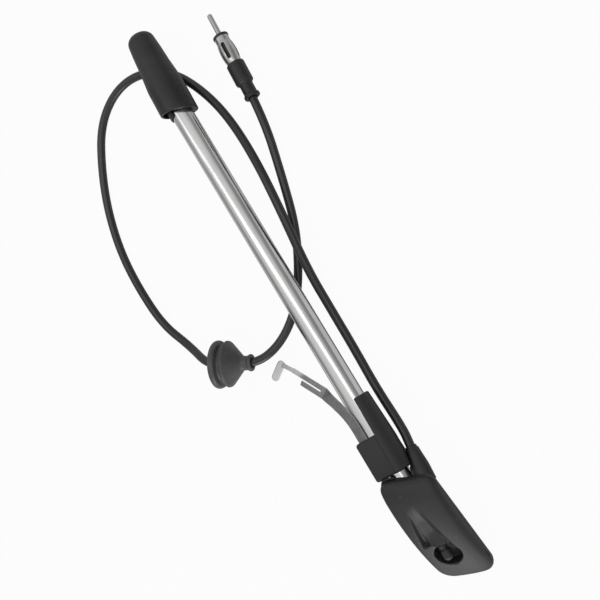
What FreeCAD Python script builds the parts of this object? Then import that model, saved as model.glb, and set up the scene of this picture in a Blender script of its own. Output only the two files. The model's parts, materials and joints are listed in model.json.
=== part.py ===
import FreeCAD, Part
import math
import os
import Sketcher

# A hide-away car antenna: a telescopic mast in a metal sheath, a moulded head and collar,
# an earth strip, and a coaxial cable with a grommet and a plug.
# X runs along the mast, towards its tip. Distances along the mast are measured from the step
# in the head where the mast comes out. The antenna lies on the plane z = 0.

Vector = FreeCAD.Vector
Placement = FreeCAD.Placement
Rotation = FreeCAD.Rotation
X_AXIS = Vector(1, 0, 0)
Y_AXIS = Vector(0, 1, 0)
Z_AXIS = Vector(0, 0, 1)

doc = FreeCAD.newDocument("car_antenna")
sheet = doc.addObject("Spreadsheet::Sheet", "Sizes")

SIZES = {
    # the step's place in the row
    "row_x": 150.674,
    "row_y": 12.241,
    # clearances: fixed fits, sliding fits, pieces that only pass
    "fit_gap": 0.05,
    "run_gap": 0.06,
    "pass_gap": 0.3,
    # sheath tube
    "tube_diameter": 12.7,
    "tube_wall": 0.8,
    "tube_tail": 285.0,
    "tube_head": 26.0,
    "drain_diameter": 3.0,
    "tail_flange": 1.5,
    "tail_shank": 10.0,
    "guide_length": 12.0,
    # telescopic mast
    "lower_diameter": 4.6,
    "lower_wall": 0.35,
    "lower_recess": 15.0,
    "lower_mouth": 0.6,
    "middle_diameter": 3.2,
    "middle_wall": 0.3,
    "middle_recess": 8.0,
    "middle_mouth": 1.0,
    "upper_diameter": 2.0,
    "upper_recess": 10.0,
    "crimp_length": 4.0,
    "crimp_taper": 1.0,
    "glide_length": 10.0,
    "foot_length": 8.0,
    "foot_cap": 2.0,
    "air_hole": 1.2,
    "knob_diameter": 5.4,
    "knob_waist": 4.0,
    "knob_length": 9.2,
    "knob_flange": 1.6,
    "knob_socket": 4.6,
    # head: plan outline, tilt against the mast, domed top; its tail keeps its place on the mast
    "tail_reach": 23.4436,
    "panel_cross": 16.3762,
    "nose_y": 1.7,
    "head_tilt": 21.0,
    "head_yaw": -4.0,
    "head_length": 65.3,
    "head_width": 29.8,
    "head_slant": 7.0,
    "corner_nose_near": 6.5,
    "corner_nose_far": 9.5,
    "corner_tail_near": 5.0,
    "corner_tail_far": 4.5,
    "cover_wall": 2.0,
    "crown_radius": 110.0,
    "crown_height": 11.8,
    "crown_apex": 36.0,
    "cover_rounding": 3.0,
    "seal_thickness": 1.2,
    "seal_inset": 0.5,
    "seal_width": 2.2,
    "plate_thickness": 2.0,
    # finger pit around the knob, and the scoop that runs into it
    "pit_x": 7.2,
    "pit_y": 0.8,
    "pit_radius": 7.3,
    "pit_floor": 3.0,
    "recess_wall": 1.2,
    "scoop_tip": 25.0,
    "scoop_tip_y": 1.8,
    "scoop_tip_radius": 5.4,
    "scoop_tip_depth": 1.3,
    "scoop_end": 1.0,
    "scoop_end_y": 1.1,
    "scoop_end_radius": 22.0,
    "scoop_end_depth": 2.4,
    # socket on the base plate, and the contact in it
    "socket_start": 35.2,
    "socket_end": 6.0,
    "socket_radius": 8.2,
    "socket_nose_radius": 4.2,
    "contact_diameter": 7.8,
    "contact_length": 10.0,
    "contact_groove": 0.5,
    # screws of the base plate
    "screw_diameter": 2.4,
    "screw_head": 5.0,
    "screw_head_height": 1.0,
    "screw_length": 5.0,
    "post_radius": 2.7,
    "screw_nose_x": 7.5,
    "screw_nose_y": 0.0,
    "screw_mid_x": 36.0,
    "screw_mid_y": 8.6,
    # collar on the tube
    "collar_end": 41.6,
    "collar_length": 22.8,
    "sleeve_length": 21.6,
    "sleeve_radius": 8.7,
    "sleeve_end_radius": 10.3,
    "sleeve_edge": 3.0,
    "sleeve_rounding": 1.0,
    "box_far": 10.4,
    "box_near": 4.4,
    "box_top": 8.3,
    "box_bottom": 9.2,
    "box_rounding": 1.6,
    # earth strip: along the tube, bent away from it, slit at its free end, with a rounded pad
    "strip_width": 6.8,
    "strip_thickness": 0.8,
    "strip_side": 5.4,
    "strip_rise": 5.6,
    "strip_lean": 20.0,
    "strip_along": 14.6,
    "strip_bend": 9.2,
    "strip_free": 17.5,
    "strip_prongs": 20.0,
    "bend_side": 4.6,
    "bend_drop": 2.8,
    "free_side": 10.9,
    "free_drop": 11.6,
    "prong_side": 24.9,
    "prong_drop": 17.6,
    "strip_slit": 1.0,
    "slit_root": 3.0,
    "prong_step": 8.0,
    "pad_length": 12.9,
    "pad_width": 4.8,
    "pad_angle": -58.3,
    "pad_height": 0.9,
    "pad_back": 8.6,
    "pad_side": 4.2,
    # rubber end boot: its places are counted from the tube's tail and from its own tip
    "boot_reach": 42.4,
    "boot_grip": 14.0,
    "boot_end_radius": 7.6,
    "boot_rounding": 5.0,
    "boot_cap": 11.5,
    "boot_cap_radius": 8.75,
    "boot_waist": 21.5,
    "boot_waist_radius": 9.4,
    "boot_swell": 34.0,
    "boot_swell_radius": 10.7,
    "boot_mouth_radius": 10.85,
    "boot_lean": 2.5,
    "boot_pivot": 30.0,
    "boot_slant": 18.0,
    "boot_pocket": 14.0,
    "boot_pocket_radius": 8.2,
    "boot_pocket_side": 2.2,
    "boot_lip": 12.6,
    "boot_lip_wall": 1.2,
    "boot_lip_edge": 2.0,
    # coaxial cable and the pieces on it
    "cable_diameter": 5.0,
    "gland_inner_radius": 3.0,
    "gland_root": 4.0,
    "gland_tip_radius": 3.1,
    "gland_inside": 14.4,
    "gland_length": 33.2,
    "grommet_length": 23.0,
    "grommet_flange": 4.3,
    "grommet_radius": 14.0,
    "groove_radius": 10.6,
    "groove_width": 3.0,
    "grommet_rim_radius": 13.6,
    "grommet_rim": 1.2,
    "grommet_flare": 1.2,
    "grommet_neck_radius": 4.2,
    "grommet_neck": 3.6,
    "grommet_bead": 2.2,
    "grommet_bead_radius": 5.1,
    "plug_height": 5.45,
    "plug_boot_length": 22.4,
    "plug_boot_radius": 5.3,
    "plug_neck_radius": 3.9,
    "plug_neck": 6.5,
    "plug_collar": 2.2,
    "plug_collar_radius": 4.7,
    "cable_in_plug": 12.0,
    "barrel_tail": 9.0,
    "barrel_tail_radius": 4.0,
    "barrel_length": 16.8,
    "barrel_bulge_radius": 4.95,
    "barrel_end_radius": 4.2,
    "barrel_bore_radius": 3.3,
    "barrel_ring": 3.2,
    "window_width": 2.2,
    "window_root": 2.4,
    "window_length": 10.4,
    "window_turn": 8.0,
    "insulator_radius": 4.6,
    "insulator_flange": 1.6,
    "insulator_depth": 2.4,
    "pin_diameter": 3.0,
    "pin_length": 15.9,
    "pin_tail": 8.0,
    "pin_tail_diameter": 2.5,
    "pin_rounding": 1.2,
}
for row, (alias, number) in enumerate(SIZES.items(), start=1):
    sheet.set("A%d" % row, alias)
    sheet.set("B%d" % row, str(number))
    sheet.setAlias("B%d" % row, alias)
doc.recompute()


def value(expression):
    """The number that an expression on the sheet gives."""
    return float(sheet.evalExpression(expression))


def size(alias):
    """One driving dimension."""
    return value("Sizes." + alias)


def origin_plane(body, role):
    return [feature for feature in body.Origin.OriginFeatures if feature.Role == role][0]


def sketch_on(body, role, name):
    sketch = body.newObject("Sketcher::SketchObject", name)
    sketch.AttachmentSupport = [(origin_plane(body, role), "")]
    sketch.MapMode = "FlatFace"
    return sketch


def pin_point(sketch, geometry, end, place):
    """Hold one end of a sketch line at a pair of expressions."""
    for kind, axis, expression in (("DistanceX", -2, place[0]), ("DistanceY", -1, place[1])):
        if expression == "0":
            sketch.addConstraint(Sketcher.Constraint("PointOnObject", geometry, end, axis))
            continue
        index = sketch.addConstraint(
            Sketcher.Constraint(kind, -1, 1, geometry, end, value(expression)))
        sketch.setExpression("Constraints[%d]" % index, expression)


def closed_outline(sketch, corners):
    """Straight lines through corners given as pairs of expressions; a corner with a third and
    fourth expression is reached by an arc through that point."""
    spots = [Vector(value(corner[0]), value(corner[1]), 0) for corner in corners]
    count = len(corners)
    ends = []
    for index in range(count):
        follower = corners[(index + 1) % count]
        start, end = spots[index], spots[(index + 1) % count]
        if len(follower) == 2:
            sketch.addGeometry(Part.LineSegment(start, end), False)
            ends.append((1, 2))
            continue
        middle = Vector(value(follower[2]), value(follower[3]), 0)
        if middle.sub(start).cross(end.sub(start)).z > 0:
            sketch.addGeometry(Part.Arc(start, middle, end), False)
            ends.append((1, 2))
        else:
            sketch.addGeometry(Part.Arc(end, middle, start), False)
            ends.append((2, 1))
    for index in range(count):
        follower = (index + 1) % count
        sketch.addConstraint(Sketcher.Constraint(
            "Coincident", index, ends[index][1], follower, ends[follower][0]))
    for index, corner in enumerate(corners):
        pin_point(sketch, index, ends[index][0], corner)
        if len(corner) == 4:
            through = sketch.addGeometry(
                Part.Point(Vector(value(corner[2]), value(corner[3]), 0)), True)
            sketch.addConstraint(
                Sketcher.Constraint("PointOnObject", through, 1, (index - 1) % count))
            pin_point(sketch, through, 1, corner[2:])


def circles_at(shape, places):
    """Names of the circular edges at the given places along the axis and radii."""
    names = []
    for number, edge in enumerate(shape.Edges, start=1):
        curve = edge.Curve
        if not isinstance(curve, Part.Circle):
            continue
        for along, radius in places:
            if abs(curve.Center.x - value(along)) < 1e-4 and abs(curve.Radius - value(radius)) < 1e-4:
                names.append("Edge%d" % number)
    return names


def turned(name, profile, rounds=()):
    """A body of revolution about X. The profile has pairs of expressions, along and radius;
    rounds lists a radius and the circular edges that it rounds."""
    body = doc.addObject("PartDesign::Body", name)
    sketch = sketch_on(body, "XZ_Plane", name + "_profile")
    closed_outline(sketch, profile)
    feature = body.newObject("PartDesign::Revolution", name + "_turn")
    feature.Profile = sketch
    feature.ReferenceAxis = (sketch, ["H_Axis"])
    feature.Angle = 360
    for order, (radius, places) in enumerate(rounds):
        doc.recompute()
        fillet = body.newObject("PartDesign::Fillet", "%s_round_%d" % (name, order))
        fillet.Base = (feature, circles_at(feature.Shape, places))
        fillet.setExpression("Radius", radius)
        feature = fillet
    return body


# Height of the mast's axis: the tilted head lies on its nose, and its tail is set on the mast
AXIS_HEIGHT = "(Sizes.head_length - Sizes.tail_reach) * sin(Sizes.head_tilt * 1deg)"
NOSE_X = "(Sizes.head_length - Sizes.tail_reach) * cos(Sizes.head_tilt * 1deg) - Sizes.panel_cross"


def on_mast(part, start):
    """Set a turned part on the mast's axis, its origin at a distance from the step."""
    part.setExpression("Placement.Base.x", "Sizes.row_x + (%s)" % start)
    part.setExpression("Placement.Base.y", "Sizes.row_y")
    part.setExpression("Placement.Base.z", AXIS_HEIGHT)
    return part


def along(part, start, direction):
    """Set a turned part with its axis on a line through start."""
    part.Placement = Placement(start, Rotation(X_AXIS, direction))
    return part


def row_point(x, y, z):
    """A point given from the step along the mast, from the mast's axis across, and above the floor."""
    return Vector(size("row_x") + x, size("row_y") + y, z)


def boolean(kind, name, base, tools):
    """A cut or common of a base with one tool, or with several fused."""
    result = doc.addObject("Part::" + kind, name)
    result.Base = base
    result.Tool = tools[0] if len(tools) == 1 else fused(name + "_tools", tools)
    return result


def fused(name, parts):
    result = doc.addObject("Part::MultiFuse", name)
    result.Shapes = list(parts)
    return result


def rod(name, radius, length, placement):
    """A cylinder along the placement's own X axis."""
    result = doc.addObject("Part::Cylinder", name)
    result.setExpression("Radius", radius)
    result.setExpression("Height", length)
    result.Placement = placement.multiply(Placement(Vector(), Rotation(Z_AXIS, X_AXIS)))
    return result


def mast_rod(name, radius, start, length):
    """A cylinder on the mast's axis."""
    return rod(name, radius, length,
               Placement(row_point(value(start), 0, value(AXIS_HEIGHT)), Rotation()))


def block(name, low, lengths):
    """A box from expressions: its low corner from the step, the axis and the axis height."""
    result = doc.addObject("Part::Box", name)
    for side, expression in zip(("Length", "Width", "Height"), lengths):
        result.setExpression(side, expression)
    corner = row_point(value(low[0]), value(low[1]), value(AXIS_HEIGHT) + value(low[2]))
    result.Placement = Placement(corner, Rotation())
    return result


# Radii and lengths that several pieces share
TUBE_RADIUS = "Sizes.tube_diameter / 2"
BORE_RADIUS = "(Sizes.tube_diameter / 2 - Sizes.tube_wall)"
LOWER_RADIUS = "Sizes.lower_diameter / 2"
LOWER_BORE = "(Sizes.lower_diameter / 2 - Sizes.lower_wall)"
MIDDLE_RADIUS = "Sizes.middle_diameter / 2"
MIDDLE_BORE = "(Sizes.middle_diameter / 2 - Sizes.middle_wall)"
UPPER_RADIUS = "Sizes.upper_diameter / 2"
CABLE_RADIUS = "Sizes.cable_diameter / 2"
CABLE_HOLE = "(Sizes.cable_diameter / 2 + Sizes.fit_gap)"
LOWER_TAIL = "(Sizes.tube_tail - Sizes.lower_recess)"
MIDDLE_TAIL = "(Sizes.tube_tail - Sizes.lower_recess - Sizes.middle_recess)"
UPPER_TAIL = "(Sizes.tube_tail - Sizes.lower_recess - Sizes.middle_recess - Sizes.upper_recess)"


def ring(name, start, length, inner, outer):
    """A plain sleeve on the mast's axis."""
    profile = [("0", inner), (length, inner), (length, outer), ("0", outer)]
    return on_mast(turned(name, profile), start)


def sheath_tube():
    return ring("sheath_tube", "-Sizes.tube_tail", "Sizes.tube_tail - Sizes.tube_head",
                BORE_RADIUS, TUBE_RADIUS)


def tail_plug():
    flange = "Sizes.tail_flange"
    depth = "Sizes.tail_flange + Sizes.tail_shank"
    drain = "Sizes.drain_diameter / 2"
    shank = BORE_RADIUS + " - Sizes.fit_gap"
    profile = [("0", drain), (depth, drain), (depth, shank), (flange, shank),
               (flange, TUBE_RADIUS), ("0", TUBE_RADIUS)]
    return on_mast(turned("tail_plug", profile), "-Sizes.tube_tail - Sizes.tail_flange")


def guide_bush():
    return ring("guide_bush", "-Sizes.tube_head - Sizes.guide_length", "Sizes.guide_length",
                LOWER_RADIUS + " + Sizes.run_gap", BORE_RADIUS + " - Sizes.fit_gap")


def contact_bush():
    length = "Sizes.contact_length"
    inner = LOWER_RADIUS + " + Sizes.run_gap"
    outer = "Sizes.contact_diameter / 2"
    waist = "Sizes.contact_diameter / 2 - Sizes.contact_groove"
    profile = [("0", inner), (length, inner), (length, outer), (length + " * 0.7", outer),
               (length + " * 0.7", waist), (length + " * 0.4", waist),
               (length + " * 0.4", outer), ("0", outer)]
    return on_mast(turned("contact_bush", profile), "-Sizes.tube_head + Sizes.fit_gap")


def mast_tube(name, tail, mouth, radius, bore, inner_radius):
    """One drawn section of the mast: its mouth is crimped in to guide the next section."""
    length = "%s + %s" % (tail, mouth)
    crimp = "%s - Sizes.crimp_length" % length
    profile = [("0", bore), (crimp, bore), (crimp + " + Sizes.crimp_taper", inner_radius),
               (length, inner_radius), (length, radius), ("0", radius)]
    rounds = [("(%s - (%s)) * 0.5" % (radius, inner_radius), [(length, radius)])]
    return on_mast(turned(name, profile, rounds), "-" + tail)


def mast_lower():
    return mast_tube("mast_lower", LOWER_TAIL, "Sizes.lower_mouth", LOWER_RADIUS, LOWER_BORE,
                     MIDDLE_RADIUS + " + Sizes.run_gap")


def mast_middle():
    return mast_tube("mast_middle", MIDDLE_TAIL, "Sizes.middle_mouth", MIDDLE_RADIUS,
                     MIDDLE_BORE, UPPER_RADIUS + " + Sizes.run_gap")


def foot(name, tail, length, stem_radius, outer):
    """A cap on the tail of a mast section that slides in the bore around it."""
    cap = "Sizes.foot_cap"
    socket = stem_radius + " + Sizes.fit_gap / 2"
    hole = "Sizes.air_hole / 2"
    profile = [("0", hole), (cap, hole), (cap, socket), (length, socket), (length, outer), ("0", outer)]
    return on_mast(turned(name, profile), "-%s - Sizes.foot_cap" % tail)


def lower_glide():
    return foot("lower_glide", LOWER_TAIL, "Sizes.glide_length", LOWER_RADIUS,
                BORE_RADIUS + " - Sizes.run_gap")


def middle_foot():
    return foot("middle_foot", MIDDLE_TAIL, "Sizes.foot_length", MIDDLE_RADIUS,
                LOWER_BORE + " - Sizes.run_gap")


def upper_foot():
    return foot("upper_foot", UPPER_TAIL, "Sizes.foot_length", UPPER_RADIUS,
                MIDDLE_BORE + " - Sizes.run_gap")


KNOB_START = "Sizes.middle_mouth + Sizes.pass_gap"


def mast_upper():
    length = UPPER_TAIL + " + Sizes.middle_mouth + Sizes.pass_gap + Sizes.knob_socket - Sizes.fit_gap"
    profile = [("0", "0"), (length, "0"), (length, UPPER_RADIUS), ("0", UPPER_RADIUS)]
    return on_mast(turned("mast_upper", profile), "-" + UPPER_TAIL)


def mast_knob():
    flange = "Sizes.knob_flange"
    length = "Sizes.knob_length"
    socket = "Sizes.knob_socket"
    hole = UPPER_RADIUS + " + Sizes.fit_gap / 2"
    outer = "Sizes.knob_diameter / 2"
    waist = "Sizes.knob_waist / 2"
    step = "(Sizes.knob_diameter - Sizes.knob_waist) / 2"
    profile = [("0", hole), ("0", outer), (flange, outer), (flange + " + " + step, waist),
               (flange + " + 2 * " + step, waist), (flange + " + 3 * " + step, outer),
               (length, outer), (length, "0"), (socket, "0"), (socket, hole)]
    rounds = [("Sizes.knob_diameter * 0.4", [(length, outer)])]
    return on_mast(turned("mast_knob", profile, rounds), KNOB_START)


# The head's own frame: x towards the nose, z out of the panel, origin at the middle of the nose edge,
# which lies level, with the seal's edge on the floor.
EDGE_ANGLE = math.degrees(math.atan2(size("head_slant"), size("head_width"))) - size("head_yaw")
HEAD = Placement(
    row_point(value(NOSE_X), size("nose_y"), -value("Sizes.seal_inset * sin(Sizes.head_tilt * 1deg)")),
    Rotation(Z_AXIS, -EDGE_ANGLE).multiply(Rotation(Y_AXIS, size("head_tilt")))
    .multiply(Rotation(Z_AXIS, EDGE_ANGLE + size("head_yaw"))))


def head_at(x, y, z):
    """A placement in the head's frame."""
    return HEAD.multiply(Placement(Vector(x, y, z), Rotation()))


def slanted_block(name, inset, bottom, height):
    """The head's plan outline, inset and extruded out of the panel, with its four corners rounded."""
    slope = "(Sizes.head_slant / Sizes.head_width)"
    side = "(%s) * sqrt(1 + %s ^ 2)" % (inset, slope)
    low = "(%s) * %s" % (inset, slope)
    high = "Sizes.head_slant - " + low
    far_edge = "Sizes.head_width - (%s)" % inset
    corners = [("%s + %s" % (low, side), inset), ("Sizes.head_length + %s - %s" % (low, side), inset),
               ("Sizes.head_length + %s - %s" % (high, side), far_edge),
               ("%s + %s" % (high, side), far_edge)]
    body = doc.addObject("PartDesign::Body", name)
    sketch = sketch_on(body, "XY_Plane", name + "_outline")
    closed_outline(sketch, corners)
    feature = body.newObject("PartDesign::Pad", name + "_pad")
    feature.Profile = sketch
    feature.setExpression("Length", height)
    radii = ("corner_tail_far", "corner_nose_far", "corner_nose_near", "corner_tail_near")
    for corner, radius in zip(corners, radii):
        doc.recompute()
        spot = Vector(value(corner[0]), value(corner[1]), 0)
        fillet = body.newObject("PartDesign::Fillet", name + "_" + radius)
        fillet.Base = (feature, [
            "Edge%d" % number for number, edge in enumerate(feature.Shape.Edges, start=1)
            if all((vertex.Point - spot).cross(Z_AXIS).Length < 1e-4 for vertex in edge.Vertexes)])
        fillet.setExpression("Radius", "Sizes.%s - (%s)" % (radius, inset))
        feature = fillet
    body.Placement = head_at(-size("head_length") - size("head_slant") / 2, -size("head_width") / 2,
                             value(bottom))
    return body


def dome(name, radius):
    """The ball whose cap is the top of the head."""
    ball = doc.addObject("Part::Sphere", name)
    ball.setExpression("Radius", radius)
    ball.Placement = head_at(-size("crown_apex"), 0, size("crown_height") - size("crown_radius")).multiply(
        Placement(Vector(), Rotation(X_AXIS, 90)))
    return ball


SEAL = "Sizes.seal_thickness"
COVER_BLOCK = "2 * Sizes.crown_height"
PIT_SPOT = HEAD.inverse().multVec(row_point(size("pit_x"), size("pit_y"), value(AXIS_HEIGHT)))
GLAND_WAY = Vector(-1.0, 0.01, -0.32).normalize()
GLAND_START = row_point(-49.4, 12.4, value(AXIS_HEIGHT) - 3.4) - GLAND_WAY * size("gland_length")
SCREW_SPOTS = [(-size("screw_nose_x"), size("screw_nose_y")), (-size("screw_mid_x"), size("screw_mid_y"))]


def pit_cylinder(name, radius, bottom):
    upright = Placement(Vector(), Rotation(X_AXIS, Z_AXIS))
    return rod(name, radius, COVER_BLOCK, head_at(PIT_SPOT.x, PIT_SPOT.y, value(bottom)).multiply(upright))


def dome_point(x, y):
    """The point of the dome above a place on the mast."""
    ball = HEAD.multVec(Vector(-size("crown_apex"), 0, size("crown_height") - size("crown_radius")))
    spot = row_point(x, y, 0)
    flat = (spot.x - ball.x) ** 2 + (spot.y - ball.y) ** 2
    spot.z = ball.z + math.sqrt(size("crown_radius") ** 2 - flat)
    return spot


def scoop_form(name, grown):
    """The finger scoop: a cone that lies in the dome, widening from a ball end towards the step."""
    out = HEAD.Rotation.multVec(Z_AXIS)
    tip = dome_point(-size("scoop_tip"), size("scoop_tip_y")) + out * value(
        "Sizes.scoop_tip_radius - Sizes.scoop_tip_depth")
    end = dome_point(-size("scoop_end"), size("scoop_end_y")) + out * value(
        "Sizes.scoop_end_radius - Sizes.scoop_end_depth")
    ball = doc.addObject("Part::Sphere", name + "_ball")
    ball.setExpression("Radius", "Sizes.scoop_tip_radius + (%s)" % grown)
    ball.Placement = Placement(tip, Rotation(X_AXIS, 90))
    cone = doc.addObject("Part::Cone", name + "_cone")
    cone.setExpression("Radius1", "Sizes.scoop_tip_radius + (%s)" % grown)
    cone.setExpression("Radius2", "Sizes.scoop_end_radius + (%s)" % grown)
    cone.Height = end.sub(tip).Length
    cone.Placement = Placement(tip, Rotation(Z_AXIS, end.sub(tip)))
    return fused(name, [ball, cone])


def socket_form(name, grown):
    """The tapered socket that carries the tube and the contact, as a turned solid."""
    tube_end = "Sizes.socket_start - Sizes.tube_head"
    length = "Sizes.socket_start - Sizes.socket_end"
    wide = "Sizes.socket_radius + (%s)" % grown
    narrow = "Sizes.socket_nose_radius + (%s)" % grown
    profile = [("0", "0"), (length, "0"), (length, narrow), (tube_end, wide), ("0", wide)]
    return on_mast(turned(name, profile), "-Sizes.socket_start")


def tube_room(name):
    """The space around the tube where it leaves the head."""
    return mast_rod(name, TUBE_RADIUS + " + Sizes.pass_gap", "-Sizes.head_length",
                    "Sizes.head_length - Sizes.tube_head")


def head_cover():
    """A domed cap, hollow below, with a finger scoop that runs into the pit around the knob."""
    capped = boolean("Common", "cover_cap", slanted_block("cover_block", "0", SEAL, COVER_BLOCK),
                     [dome("cover_dome", "Sizes.crown_radius")])
    doc.recompute()
    rim = [number for number, edge in enumerate(capped.Shape.Edges, start=1)
           if HEAD.inverse().multVec(edge.CenterOfMass).z > value(SEAL) + size("cover_rounding")
           and abs(edge.tangentAt(edge.FirstParameter).dot(HEAD.Rotation.multVec(Z_AXIS))) < 0.9]
    outer = doc.addObject("Part::Fillet", "cover_outer")
    outer.Base = capped
    outer.Edges = [(number, size("cover_rounding"), size("cover_rounding")) for number in rim]
    posts = [rod("cover_post_%d" % order, "Sizes.post_radius", "Sizes.crown_height",
                 head_at(x, y, value(SEAL + " + Sizes.plate_thickness + Sizes.fit_gap"))
                 .multiply(Placement(Vector(), Rotation(X_AXIS, Z_AXIS))))
             for order, (x, y) in enumerate(SCREW_SPOTS)]
    pilots = [rod("cover_pilot_%d" % order, "Sizes.screw_diameter / 2 + Sizes.fit_gap",
                  "Sizes.screw_length + Sizes.fit_gap",
                  head_at(x, y, value(SEAL)).multiply(Placement(Vector(), Rotation(X_AXIS, Z_AXIS))))
              for order, (x, y) in enumerate(SCREW_SPOTS)]
    room = boolean("Common", "cover_room",
                   slanted_block("cover_room_block", "Sizes.cover_wall", "0", COVER_BLOCK),
                   [dome("cover_room_dome", "Sizes.crown_radius - Sizes.cover_wall")])
    inner_walls = [pit_cylinder("pit_wall", "Sizes.pit_radius + Sizes.recess_wall", "0"),
                   scoop_form("scoop_wall", "Sizes.recess_wall")] + posts
    hollow = boolean("Cut", "cover_hollow", room, inner_walls)
    bore = mast_rod("cover_mast_bore", LOWER_RADIUS + " + Sizes.pass_gap", "-Sizes.scoop_tip",
                    "Sizes.scoop_tip + Sizes.pit_x")
    exit_groove = mast_rod("cover_exit_groove", "Sizes.knob_diameter / 2 + Sizes.pass_gap",
                           "Sizes.lower_mouth", "Sizes.head_length")
    return boolean("Cut", "head_cover", outer, [
        hollow, pit_cylinder("pit", "Sizes.pit_radius", "Sizes.pit_floor"), scoop_form("scoop", "0"),
        bore, exit_groove, socket_form("cover_socket_room", "Sizes.pass_gap"),
        tube_room("cover_tube_room")] + pilots)


def panel_seal():
    outer = slanted_block("seal_outer", "Sizes.seal_inset", "0", SEAL)
    inner = slanted_block("seal_inner", "Sizes.seal_inset + Sizes.seal_width", "-Sizes.seal_thickness",
                          "3 * Sizes.seal_thickness")
    return boolean("Cut", "panel_seal", outer, [
        inner, socket_form("seal_socket_room", "Sizes.pass_gap"), tube_room("seal_tube_room")])


def gland_rod(name, radius, length, start="0"):
    """A cylinder on the gland's axis."""
    spot = GLAND_START + GLAND_WAY * value(start)
    return rod(name, radius, length, Placement(spot, Rotation(X_AXIS, GLAND_WAY)))


def base_plate():
    """The plate that closes the head, with the inclined socket for the tube."""
    plate = slanted_block("plate_block", "Sizes.cover_wall + Sizes.fit_gap", SEAL, "Sizes.plate_thickness")
    domed = boolean("Common", "plate_domed", plate,
                    [dome("plate_dome", "Sizes.crown_radius - Sizes.cover_wall - Sizes.fit_gap")])
    open_plate = boolean("Cut", "plate_open", domed, [
        pit_cylinder("plate_pit_hole", "Sizes.pit_radius + Sizes.recess_wall + Sizes.pass_gap", "0")])
    body = fused("plate_body", [open_plate, socket_form("plate_socket", "0")])
    screw_holes = [rod("plate_hole_%d" % order, "Sizes.screw_diameter / 2 + Sizes.fit_gap",
                       "Sizes.crown_height",
                       head_at(x, y, 0).multiply(Placement(Vector(), Rotation(X_AXIS, Z_AXIS))))
                   for order, (x, y) in enumerate(SCREW_SPOTS)]
    return boolean("Cut", "base_plate", body, [
        mast_rod("plate_tube_bore", TUBE_RADIUS + " + Sizes.fit_gap", "-Sizes.socket_start",
                 "Sizes.socket_start - Sizes.tube_head"),
        mast_rod("plate_contact_bore", "Sizes.contact_diameter / 2 + Sizes.fit_gap", "-Sizes.tube_head",
                 "Sizes.contact_length + 2 * Sizes.fit_gap"),
        mast_rod("plate_mast_bore", LOWER_RADIUS + " + Sizes.pass_gap", "-Sizes.socket_start",
                 "Sizes.socket_start"),
        gland_rod("plate_gland_hole", "Sizes.gland_inner_radius + Sizes.fit_gap", "Sizes.gland_length"),
        gland_rod("plate_gland_room", "Sizes.gland_root + Sizes.pass_gap", "Sizes.gland_length",
                  "Sizes.gland_inside - Sizes.fit_gap")] + screw_holes)


def base_screws():
    """Two pan-head screws that hold the plate in the cover."""
    head = "Sizes.screw_head_height"
    length = "Sizes.screw_head_height + Sizes.screw_length"
    shank = "Sizes.screw_diameter / 2"
    wide = "Sizes.screw_head / 2"
    profile = [("0", "0"), (length, "0"), (length, shank), (head, shank), (head, wide), ("0", wide)]
    screws = []
    for order, (x, y) in enumerate(SCREW_SPOTS):
        screw = turned("base_screw_%d" % order, profile, [("Sizes.screw_head_height / 2", [("0", wide)])])
        screw.Placement = head_at(x, y, value(SEAL) - size("screw_head_height")).multiply(
            Placement(Vector(), Rotation(X_AXIS, Z_AXIS)))
        screws.append(screw)
    group = doc.addObject("Part::Compound", "base_screws")
    group.Links = screws
    return group


# Stations of the earth strip: place from the step, the axis and the floor, and the way across it
BEND_WAY = Vector(0.22, -0.92, -0.32)
FREE_WAY = Vector(0.54, -0.84, -0.06)


def strip_stations():
    lean = math.radians(size("strip_lean"))
    flank = Vector(0, -math.cos(lean), -math.sin(lean))
    side = -size("strip_side")
    rise = value(AXIS_HEIGHT) + size("strip_rise")
    inside = size("collar_end") + size("collar_length") / 2
    outside = value("Sizes.collar_end + Sizes.collar_length + Sizes.strip_along")
    bend = outside + size("strip_bend")
    free = outside + size("strip_free")
    tip = free + size("strip_prongs")
    return [
        (row_point(-inside, side, rise), flank),
        (row_point(-outside, side, rise), flank),
        (row_point(-bend, side - size("bend_side"), rise - size("bend_drop")), BEND_WAY),
        (row_point(-free, side - size("free_side"), rise - size("free_drop")), FREE_WAY),
        (row_point(-tip, side - size("prong_side"), rise - size("prong_drop")), FREE_WAY),
    ]


def flat_section(centre, half, thick):
    """A thin rectangle across the strip, as a closed wire."""
    corners = [centre + half + thick, centre - half + thick, centre - half - thick, centre + half - thick]
    return Part.makePolygon(corners + corners[:1])


def strip_loft(grown):
    """The bent strip as a ruled solid through thin rectangles."""
    stations = strip_stations()
    sections = []
    for index, (centre, across) in enumerate(stations):
        ahead = stations[min(index + 1, len(stations) - 1)][0]
        behind = stations[max(index - 1, 0)][0]
        normal = ahead.sub(behind).cross(across).normalize()
        half = Vector(across).normalize() * (size("strip_width") / 2 + grown)
        thick = normal * (size("strip_thickness") / 2 + grown)
        sections.append(flat_section(centre, half, thick))
    return Part.makeLoft(sections, True, True)


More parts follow.
